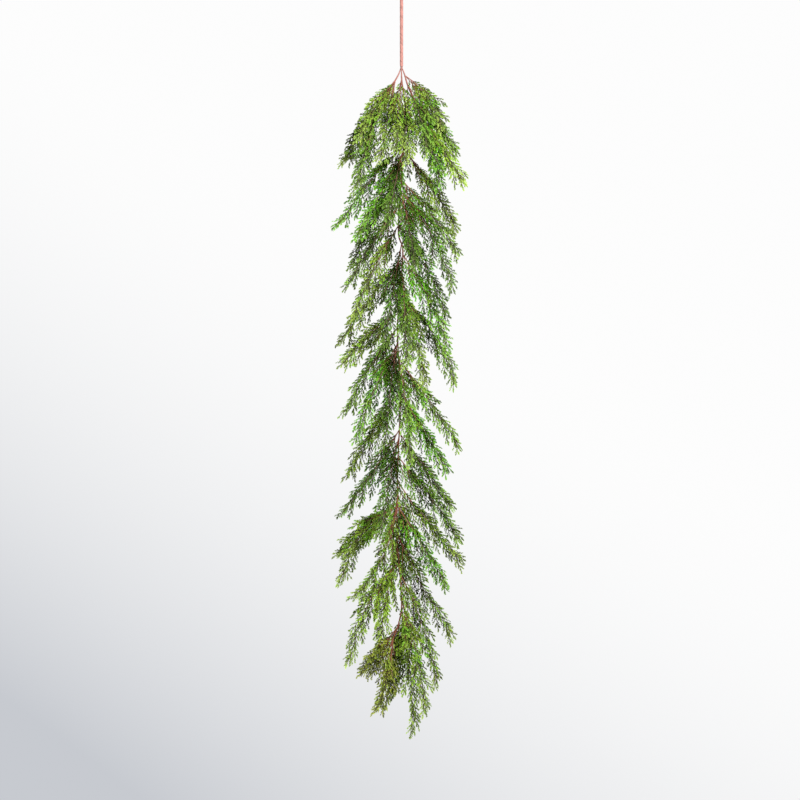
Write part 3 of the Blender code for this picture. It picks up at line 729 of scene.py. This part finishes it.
def add_tape(surface, pitch, lap):
    """The wound tape: a closed sleeve, a profile of height and radius turned about the stem.

    The outer skin steps by a lap in each turn, as on a wire, and is pulled in at both ends by
    the square root of the distance to the end. The inner skin is straight.
    """
    outer = TAPE_HIGH.x
    inner = outer - TAPE_THICKNESS
    height = np.linspace(TAPE_HIGH.z, TAPE_LOW.z, TAPE_ROWS)
    grown = (np.arange(TAPE_SIDES) / TAPE_SIDES + height[:, None] / pitch) % 1
    ends = np.clip(np.minimum(height - TAPE_LOW.z, TAPE_HIGH.z - height) / TAPE_LIP, 0, 1)
    pulled_in = TAPE_END_SHARE + (1 - TAPE_END_SHARE) * np.sqrt(ends)
    skin = inner + (outer - inner) * pulled_in[:, None] - lap * (1 - grown) * ends[:, None]
    profile = np.vstack([skin, np.full((TAPE_ROWS, TAPE_SIDES), inner)])
    level = np.concatenate([height, height[::-1]])
    angle = np.linspace(0, 2 * math.pi, TAPE_SIDES, endpoint=False)
    verts = np.stack([profile * np.cos(angle), profile * np.sin(angle),
                      np.repeat(level[:, None], TAPE_SIDES, axis=1)], axis=-1)
    ring = TAPE_SIDES * np.arange(2 * TAPE_ROWS)[:, None]
    faces = band_faces(ring, (ring + TAPE_SIDES) % profile.size, TAPE_SIDES)
    laps = np.vstack([grown, np.ones((TAPE_ROWS, TAPE_SIDES))]).reshape(1, -1)
    surface.add(verts.reshape(1, -1, 3), faces, lap=laps)


def add_node(tree, kind, inputs=None, **options):
    """A new node with its options, and each input given as a value or as a socket to link."""
    made = tree.nodes.new(kind)
    for name, value in options.items():
        setattr(made, name, value)
    for key, value in (inputs or {}).items():
        if isinstance(value, bpy.types.NodeSocket):
            tree.links.new(value, made.inputs[key])
        else:
            made.inputs[key].default_value = value
    return made


def maths(tree, operation, a, b=0.0, clamp=False):
    """The result of one operation on two numbers."""
    return add_node(tree, "ShaderNodeMath", {0: a, 1: b}, operation=operation,
                    use_clamp=clamp).outputs[0]


def mixed(tree, factor, a, b, blend="MIX"):
    """Two colours mixed by a factor."""
    return add_node(tree, "ShaderNodeMix", {0: factor, 6: a, 7: b}, data_type="RGBA",
                    blend_type=blend).outputs[2]


def scaled(tree, colour, factor):
    """A colour made darker or lighter by a factor."""
    return add_node(tree, "ShaderNodeVectorMath", {0: colour, 3: factor},
                    operation="SCALE").outputs[0]


def ranged(tree, value, low, high, to_low=0.0, to_high=1.0):
    """A number carried from one range to another, held at its ends."""
    return add_node(tree, "ShaderNodeMapRange",
                    {0: value, 1: low, 2: high, 3: to_low, 4: to_high}).outputs[0]


def mark(tree, name):
    """A number that the mesh carries on its points."""
    return add_node(tree, "ShaderNodeAttribute", attribute_name=name).outputs["Fac"]


def object_place(tree):
    """Object coordinates, which are the garland's own metres."""
    return add_node(tree, "ShaderNodeTexCoord").outputs["Object"]


def noise(tree, scale, detail, stretch=(1, 1, 1)):
    """Noise in Object coordinates, as a number."""
    place = add_node(tree, "ShaderNodeMapping", {0: object_place(tree), 3: stretch}).outputs[0]
    return add_node(tree, "ShaderNodeTexNoise",
                    {"Vector": place, "Scale": scale, "Detail": detail}).outputs[0]


def new_group(name, inputs, outputs):
    """An empty shader node group with named sockets, its input node and its output node."""
    group = bpy.data.node_groups.new(name, "ShaderNodeTree")
    for label, kind in inputs:
        group.interface.new_socket(label, in_out="INPUT", socket_type=kind)
    for label, kind in outputs:
        group.interface.new_socket(label, in_out="OUTPUT", socket_type=kind)
    return group, group.nodes.new("NodeGroupInput"), group.nodes.new("NodeGroupOutput")


def join(tree, results, node):
    """Links each result to the input of that name on a node."""
    for label, socket in results.items():
        tree.links.new(socket, node.inputs[label])


def leaf_tint_group():
    """Leaf colour from shaded, grown and young, by the tone and the place on the spray.

    Here and there the grown colour gives way to the stray one, that of a neighbouring spray. A
    leaflet is darker at its root, as painted shade, and young at its tip. Leaves of higher tone
    take more of the young colour: fresh growth, and a painted highlight.
    """
    group, given, out = new_group(
        "Leaf Tint",
        [("Shaded", "NodeSocketColor"), ("Grown", "NodeSocketColor"),
         ("Young", "NodeSocketColor"), ("Stray", "NodeSocketColor")],
        [("Colour", "NodeSocketColor"), ("Roughness", "NodeSocketFloat"),
         ("Grain", "NodeSocketFloat")])
    tone, outward, along = (mark(group, name) for name in ("tone", "outward", "along"))
    patches = ranged(group, noise(group, *PATCH_NOISE), *PATCH_RANGE)
    grain = noise(group, *GRAIN_NOISE)
    level = maths(group, "ADD", tone, patches, clamp=True)
    strayed = ranged(group, noise(group, *STRAY_NOISE), *STRAY_RANGE)
    grown = mixed(group, strayed, given.outputs["Grown"], given.outputs["Stray"])
    colour = mixed(group, level, given.outputs["Shaded"], grown)
    # Fresh growth towards the tips, and a painted highlight on leaves of higher tone
    youth_and_highlight = maths(group, "MULTIPLY", ranged(group, outward, *YOUTH_BY_PLACE),
                  ranged(group, level, *HIGHLIGHT_BY_TONE))
    colour = mixed(group, youth_and_highlight, colour, given.outputs["Young"])
    tips = ranged(group, along, *LEAFLET_TIP_RANGE)
    colour = mixed(group, tips, colour, given.outputs["Young"])
    # Painted shade: each leaflet darker towards its root
    colour = scaled(group, colour, ranged(group, along, *LEAFLET_ROOT_SHADE_RANGE))
    roughness = ranged(group, grain, *LEAF_ROUGHNESS_RANGE)
    join(group, {"Colour": colour, "Roughness": roughness, "Grain": grain}, out)
    return group


def wound_paper_group():
    """Colour, roughness and height of wound crepe paper, with painted shade where one turn meets the
    next.
    """
    group, given, out = new_group(
        "Wound Paper",
        [("Paper", "NodeSocketColor"), ("Crease", "NodeSocketColor")],
        [("Colour", "NodeSocketColor"), ("Roughness", "NodeSocketFloat"),
         ("Height", "NodeSocketFloat")])
    crinkle = noise(group, *CRINKLE_NOISE, CRINKLE_STRETCH)
    blotch = ranged(group, noise(group, *BLOTCH_NOISE), *BLOTCH_RANGE)
    # Painted shade where one turn laps over the next, added to random blotches
    edge = ranged(group, mark(group, "lap"), *LAP_SHADE_RANGE)
    lap_shade_and_blotch = maths(group, "ADD", edge, blotch, clamp=True)
    colour = mixed(group, lap_shade_and_blotch, given.outputs["Paper"], given.outputs["Crease"])
    # Painted shade and light: darker in the crinkles' hollows, lighter on their ridges
    colour = scaled(group, colour, ranged(group, crinkle, *CRINKLE_SHADE_RANGE))
    roughness = ranged(group, crinkle, *PAPER_ROUGHNESS_RANGE)
    join(group, {"Colour": colour, "Roughness": roughness, "Height": crinkle}, out)
    return group


def shared_group(name, build):
    """A node group by name, built the first time that it is asked for."""
    return bpy.data.node_groups.get(name) or build()


def new_material(name):
    """A material with its node tree and its shader."""
    made = bpy.data.materials.new(name)
    made.use_nodes = True
    return made, made.node_tree, made.node_tree.nodes["Principled BSDF"]


def join_bump(tree, shader, height, strength, distance):
    """Relief from a height, on the shader's normal."""
    bump = add_node(tree, "ShaderNodeBump", {"Height": height, "Strength": strength,
                                             "Distance": distance})
    tree.links.new(bump.outputs[0], shader.inputs["Normal"])


def leaf_material(name, grown, young_share, stray):
    """Satin moulded leaf: grown, painted-shade, young-and-highlight and a neighbour's stray colour.
    """
    made, tree, shader = new_material("leaf_" + name)
    # Painted shade: the shaded colour is the grown one times the shaded shares
    shaded = [channel * share for channel, share in zip(grown, SHADED_SHARES)]
    young = [channel + (bright - channel) * young_share
             for channel, bright in zip(grown, YOUNGEST_LEAF)]
    colours = {"Shaded": shaded, "Grown": grown, "Young": young, "Stray": stray}
    tint = add_node(tree, "ShaderNodeGroup", node_tree=shared_group("Leaf Tint", leaf_tint_group))
    for label, colour in colours.items():
        tint.inputs[label].default_value = (*colour, 1)
    join(tree, {"Base Color": tint.outputs["Colour"], "Roughness": tint.outputs["Roughness"]},
         shader)
    join_bump(tree, shader, tint.outputs["Grain"], *LEAF_RELIEF)
    shader.inputs["Specular IOR Level"].default_value = LEAF_GLOSS
    return made


def stem_material(look):
    """The bark of ribs and twigs: brown at the stalk, turning green on the way to the tip."""
    made, tree, shader = new_material("green_stem")
    turn = maths(tree, "ADD", ranged(tree, mark(tree, "outward"), *STEM_GREENING),
                 ranged(tree, noise(tree, *STEM_NOISE), *STEM_NOISE_RANGE), clamp=True)
    colour = mixed(tree, turn, (*look.bark, 1), (*look.green_stem, 1))
    tree.links.new(colour, shader.inputs["Base Color"])
    shader.inputs["Roughness"].default_value = STEM_ROUGHNESS
    return made


def wound_material(name, high, low):
    """Wound paper that runs from one colour above the fork to another below it."""
    made, tree, shader = new_material(name)
    z = add_node(tree, "ShaderNodeSeparateXYZ", {0: object_place(tree)}).outputs["Z"]
    paper = mixed(tree, ranged(tree, z, FADE_BOTTOM, FADE_TOP), (*low, 1), (*high, 1))
    # The darker paper for the painted shade at the laps and for the blotches
    shade_and_blotch_paper = scaled(tree, paper, SHADE_AND_BLOTCH_SHARE)
    wound = add_node(tree, "ShaderNodeGroup", {"Paper": paper, "Crease": shade_and_blotch_paper},
                     node_tree=shared_group("Wound Paper", wound_paper_group))
    join(tree, {"Base Color": wound.outputs["Colour"], "Roughness": wound.outputs["Roughness"]},
         shader)
    join_bump(tree, shader, wound.outputs["Height"], *PAPER_RELIEF)
    shader.inputs["Specular IOR Level"].default_value = PAPER_GLOSS
    return made


def colour_property(name, description, default):
    """A colour that a user may change."""
    return FloatVectorProperty(name=name, description=description, default=default,
                               subtype="COLOR", min=0.0, max=1.0)


def length_property(name, description, default):
    """A length in metres that a user may change."""
    return FloatProperty(name=name, description=description, default=default, min=0.0,
                         unit="LENGTH", precision=4)


def number_property(name, description, default, low=0.0, high=1000.0):
    """A plain number that a user may change."""
    return FloatProperty(name=name, description=description, default=default, min=low, max=high)


class GarlandWires(bpy.types.PropertyGroup):
    """Sizes and colours of the loop, the tape and the wound wires."""

    pitch: length_property("Paper pitch", "Height of one turn of the paper on a wire", 0.0085)
    lap: length_property("Paper lap", "How far one turn stands over the next", 0.00035)
    tape_pitch: length_property("Tape pitch", "Height of one turn of the binding tape", 0.020)
    salmon: colour_property("Paper", "Paper of the stem above the fork", (0.35, 0.155, 0.13))
    # Darker below the fork: partly the paper's own colour, partly painted shade of the leaves
    low_paper_and_shade: colour_property("Low paper", "Paper of the side wires below it", (0.20, 0.066, 0.044))
    bark: colour_property("Bark", "Paper of the main wire among the leaves", (0.16, 0.050, 0.026))
    green_stem: colour_property("Green stem", "Ribs and twigs near the tips", (0.055, 0.045, 0.018))


class GarlandLeaves(bpy.types.PropertyGroup):
    """Sizes and colours of the leaves."""

    length: length_property("Leaflet length", "Length of a middling leaflet", 0.0060)
    width: length_property("Leaflet width", "Width of a middling leaflet", 0.0021)
    thickness: length_property("Leaflet thickness", "Thickness at its crown", 0.0015)
    spacing: length_property("Twiglet spacing", "Step from one twiglet to the next", 0.0058)
    twiglet: length_property("Twiglet length", "Length of the longest twiglets", 0.0190)
    olive: colour_property("Olive", "Leaves of the olive sprays", (0.190, 0.300, 0.027))
    grey_green: colour_property("Grey-green", "Leaves of the greyer sprays", (0.145, 0.290, 0.026))
    deep: colour_property("Deep green", "Leaves of the darker sprays", (0.062, 0.155, 0.008))
    fresh: colour_property("Fresh green", "Leaves of the brighter sprays", (0.100, 0.325, 0.010))
    light: colour_property("Light green", "Leaves of the youngest sprays", (0.235, 0.420, 0.022))
    russet: colour_property("Russet", "Leaves of the browned spray", (0.245, 0.285, 0.030))


class GarlandStage(bpy.types.PropertyGroup):
    """The camera, the lights and the backdrop."""

    lens: number_property("Lens", "Focal length of the camera in millimetres", 100.0, 20.0, 300.0)
    view_height: length_property("View height", "Height that the picture takes in", 1.80)
    view_middle: FloatVectorProperty(name="View middle", description="Point that it looks at",
                                     default=(-0.0034, 0.0, -0.954), subtype="TRANSLATION",
                                     unit="LENGTH")
    key: number_property("Key light", "Power of the large soft light, in watts", 300.0)
    fill: number_property("Fill light", "Power of the low front light, in watts", 20.0)
    rim: number_property("Rim light", "Power of the light from behind, in watts", 70.0)
    around: number_property("Around", "Strength of the even light from all sides", 0.06)
    surround: number_property("Surround", "Brightness seen beside the backdrop", 0.75)
    wall_light: number_property("Wall light", "Share of its glow that the wall casts", 0.15,
                                high=1.0)
    floor_drop: length_property("Floor drop", "Floor below the lowest leaf", 0.52)
    wall_gap: length_property("Wall gap", "Backdrop behind the garland", 1.2)
    sweep: length_property("Sweep", "Radius of the curve between floor and wall", 0.5)


def settings():
    """The scene's settings for wires, leaves and stage."""
    scene = bpy.context.scene
    return scene.garland_wires, scene.garland_leaves, scene.garland_stage


class GARLAND_OT_hanging_loop(bpy.types.Operator):
    """Makes the wound wire loop that takes the hook"""

    bl_idname = "garland.hanging_loop"
    bl_label = "Hanging Loop"

    def execute(self, context):
        wires, _, _ = settings()
        surface = Surface()
        add_wire(surface, loop_path(), lambda points: np.full(len(points), LOOP_WIRE_RADIUS),
                 wires.pitch * LOOP_PITCH_SHARE, wires.lap * LOOP_LAP_SHARE)
        paper = wound_material("loop_paper", wires.salmon, wires.salmon)
        surface.as_piece("wound_loop", [paper], "hanging_loop", "wrapped_wire")
        return {"FINISHED"}


class GARLAND_OT_joining_tape(bpy.types.Operator):
    """Makes the paper tape wound round the joint of loop and wires"""

    bl_idname = "garland.joining_tape"
    bl_label = "Joining Tape"

    def execute(self, context):
        wires, _, _ = settings()
        surface = Surface()
        add_tape(surface, wires.tape_pitch, wires.lap)
        paper = wound_material("tape_paper", wires.salmon, wires.salmon)
        surface.as_piece("wound_tape", [paper], "tape_wrap", "wrapped_wire")
        return {"FINISHED"}


class GARLAND_OT_wound_wires(bpy.types.Operator):
    """Makes the three paper-wound wires and the bare stalks that leave them"""

    bl_idname = "garland.wound_wires"
    bl_label = "Wound Wires"

    def execute(self, context):
        wires, _, _ = settings()
        # The side wires' paper darkens below the fork, partly as painted shade of the leaves
        papers = {"wrapped_wire": wound_material("side_wire_paper", wires.salmon, wires.low_paper_and_shade),
                  "wrapped_bark": wound_material("main_wire_paper", wires.salmon, wires.bark)}
        for name, (angle, knots, rows, slot) in WIRES.items():
            path = wire_path(angle, knots)
            surface = Surface()
            add_wire(surface, path, wire_radius, wires.pitch, wires.lap)
            sprays = [Spray(row, path) for row in rows]
            points = np.stack([spray.line(np.linspace(0, spray.stalk_share, STALK_POINTS))
                               for spray in sprays])
            radii = np.linspace(STALK_ROOT_RADIUS, STALK_END_RADIUS, STALK_POINTS)
            surface.add(*tubes(points, radii[None, :, None], FACING, STALK_SIDES), lap=STALK_LAP)
            surface.as_piece("wound_" + name, [papers[slot]], name, slot)
        return {"FINISHED"}


class GARLAND_OT_leafy_sprays(bpy.types.Operator):
    """Makes every leafy spray: its rib, its twigs, their twiglets and the leaflets"""

    bl_idname = "garland.leafy_sprays"
    bl_label = "Leafy Sprays"

    def execute(self, context):
        wires, leaf, _ = settings()
        stem = stem_material(wires)
        leaves = {}
        for name, young_share in YOUNG_SHARES.items():
            stray = getattr(leaf, OTHER_STRAYS.get(name, USUAL_STRAY))
            leaves[name] = leaf_material(name, getattr(leaf, name), young_share, stray)
        sprays = [Spray(row, wire_path(angle, knots))
                  for angle, knots, rows, _ in WIRES.values() for row in rows]
        for number, spray in enumerate(sprays):
            foliage = Foliage(spray, leaf, np.random.default_rng([SEED, number]))
            foliage.add_rib()
            foliage.add_rib_leaves()
            foliage.add_twigs()
            foliage.as_piece("leafy_" + spray.name, [leaves[spray.colour], stem], spray.solid,
                             spray.colour)
        return {"FINISHED"}


def camera_distance(stage):
    """How far off the camera stands: the view's height times the lens over the sensor."""
    return stage.lens / SENSOR_WIDTH * stage.view_height


def wall_shade(tree, stage, place):
    """The wall's colour: clear at the top left of the picture, and shaded down a slant.

    The way along the slant is the drop below that corner, less a share of the way to the right
    of it, both in pixels of the picture as they fall on the wall. The shade is a power of its
    share of the run.
    """
    distance = camera_distance(stage)
    pixel = stage.view_height / PICTURE_SIZE * (distance + stage.wall_gap) / distance
    left = stage.view_middle[0] - PICTURE_SIZE / 2 * pixel
    top = stage.view_middle[2] + PICTURE_SIZE / 2 * pixel
    down = maths(tree, "MULTIPLY", maths(tree, "SUBTRACT", top, place["Z"]), 1 / pixel)
    over = maths(tree, "MULTIPLY", maths(tree, "SUBTRACT", place["X"], left), 1 / pixel)
    slant = maths(tree, "SUBTRACT", down, maths(tree, "MULTIPLY", over, SHADE_SLANT))
    depth = maths(tree, "POWER", ranged(tree, slant, 0, SHADE_RUN), SHADE_POWER)
    return mixed(tree, depth, WALL_CLEAR, WALL_SHADED)


def backdrop_material(stage, floor_z):
    """Pale paper that glows where it stands up, is plain matt where it lies, and is clear from
    behind."""
    made, tree, shader = new_material("pale_backdrop")
    place = add_node(tree, "ShaderNodeSeparateXYZ", {0: object_place(tree)}).outputs
    seen = add_node(tree, "ShaderNodeLightPath").outputs["Is Camera Ray"]
    glow = add_node(tree, "ShaderNodeEmission", {
        "Color": wall_shade(tree, stage, place),
        "Strength": ranged(tree, seen, 0.0, 1.0, stage.wall_light, 1.0),
    })
    shader.inputs["Base Color"].default_value = FLOOR_COLOUR
    shader.inputs["Roughness"].default_value = FLOOR_ROUGHNESS
    height = ranged(tree, place["Z"], floor_z, floor_z + GLOW_RISE)
    skin = add_node(tree, "ShaderNodeMixShader",
                    {0: height, 1: shader.outputs[0], 2: glow.outputs[0]})
    clear = add_node(tree, "ShaderNodeBsdfTransparent")
    behind = add_node(tree, "ShaderNodeNewGeometry").outputs["Backfacing"]
    shown = add_node(tree, "ShaderNodeMixShader",
                     {0: behind, 1: skin.outputs[0], 2: clear.outputs[0]})
    tree.links.new(shown.outputs[0], tree.nodes["Material Output"].inputs["Surface"])
    return made


def sweep_object(stage, floor_z):
    """Floor and wall in one: a straight floor, a quarter circle and a straight wall, carried
    across the stage."""
    turn = np.linspace(0, math.pi / 2, BEND_POINTS)
    bend_y = stage.wall_gap - stage.sweep + stage.sweep * np.sin(turn)
    bend_z = floor_z + stage.sweep * (1 - np.cos(turn))
    y = np.concatenate([[FLOOR_FRONT], bend_y, [stage.wall_gap]])
    z = np.concatenate([[floor_z], bend_z, [WALL_TOP]])
    x = np.repeat([[-HALF_WIDTH], [HALF_WIDTH]], len(y), axis=1)
    verts = np.stack(np.broadcast_arrays(x, y, z), axis=-1).reshape(-1, 3)
    step = np.arange(len(y) - 1)
    faces = np.stack([step, step + len(y), step + len(y) + 1, step + 1], axis=-1)
    mesh = bpy.data.meshes.new("pale_backdrop")
    mesh.from_pydata(verts, [], faces)
    mesh.shade_smooth()
    mesh.materials.append(backdrop_material(stage, floor_z))
    new_object("pale_backdrop", mesh)


def soft_light(name, place, target, size, watts):
    """A large square light that faces a point."""
    lamp = bpy.data.lights.new(name, "AREA")
    lamp.shape = "SQUARE"
    lamp.size = size
    lamp.energy = watts
    light = new_object(name, lamp)
    light.location = place
    light.rotation_mode = "QUATERNION"
    light.rotation_quaternion = (target - light.location).to_track_quat("-Z", "Y")


def front_camera(stage):
    """The camera, level with the middle of the view and straight in front of it."""
    lens = bpy.data.cameras.new("camera")
    lens.lens = stage.lens
    lens.sensor_width = SENSOR_WIDTH
    camera = new_object("camera", lens)
    x, y, z = stage.view_middle
    camera.location = (x, y - camera_distance(stage), z)
    camera.rotation_euler = (math.pi / 2, 0, 0)
    bpy.context.scene.camera = camera


def even_light(stage):
    """The world: a weak light on the garland, and a pale surround where the camera sees it."""
    world = bpy.data.worlds.new("soft_light_around")
    world.use_nodes = True
    sky = world.node_tree.nodes["Background"]
    sky.inputs["Color"].default_value = (1, 1, 1, 1)
    seen = add_node(world.node_tree, "ShaderNodeLightPath").outputs["Is Camera Ray"]
    glow = ranged(world.node_tree, seen, 0.0, 1.0, stage.around, stage.surround)
    world.node_tree.links.new(glow, sky.inputs["Strength"])
    bpy.context.scene.world = world


class GARLAND_OT_stage(bpy.types.Operator):
    """Makes the camera, the soft lights and the pale backdrop"""

    bl_idname = "garland.stage"
    bl_label = "Stage"

    def execute(self, context):
        _, _, stage = settings()
        front_camera(stage)
        middle = SOLID_LOW.lerp(SOLID_HIGH, 0.5)
        for name, (place, size) in LIGHTS.items():
            soft_light(name + "_light", place, middle, size, getattr(stage, name))
        even_light(stage)
        context.scene.view_settings.view_transform = "Standard"
        sweep_object(stage, SOLID_LOW.z - stage.floor_drop)
        return {"FINISHED"}


class GARLAND_PT_pieces(bpy.types.Panel):
    """Lists the garland's pieces and their settings"""

    bl_label = "Door Garland"
    bl_idname = "GARLAND_PT_pieces"
    bl_space_type = "VIEW_3D"
    bl_region_type = "UI"
    bl_category = "Garland"

    def draw(self, context):
        for group in settings():
            box = self.layout.box()
            for name in group.bl_rna.properties.keys():
                if name not in ("rna_type", "name"):
                    box.prop(group, name)
        for piece in PIECES:
            self.layout.operator(piece.bl_idname)


PIECES = (GARLAND_OT_hanging_loop, GARLAND_OT_joining_tape, GARLAND_OT_wound_wires,
          GARLAND_OT_leafy_sprays, GARLAND_OT_stage)
CLASSES = (GarlandWires, GarlandLeaves, GarlandStage, *PIECES, GARLAND_PT_pieces)


def register():
    """Registers the classes and gives the scene its settings."""
    for made in CLASSES:
        bpy.utils.register_class(made)
    bpy.types.Scene.garland_wires = PointerProperty(type=GarlandWires)
    bpy.types.Scene.garland_leaves = PointerProperty(type=GarlandLeaves)
    bpy.types.Scene.garland_stage = PointerProperty(type=GarlandStage)


def unregister():
    """Takes the settings and the classes away again."""
    del bpy.types.Scene.garland_stage
    del bpy.types.Scene.garland_leaves
    del bpy.types.Scene.garland_wires
    for made in reversed(CLASSES):
        bpy.utils.unregister_class(made)


def main():
    """Makes every piece in order."""
    register()
    bpy.ops.garland.hanging_loop()
    bpy.ops.garland.joining_tape()
    bpy.ops.garland.wound_wires()
    bpy.ops.garland.leafy_sprays()
    bpy.ops.garland.stage()
    bpy.context.view_layer.update()


if __name__ == "__main__":
    main()
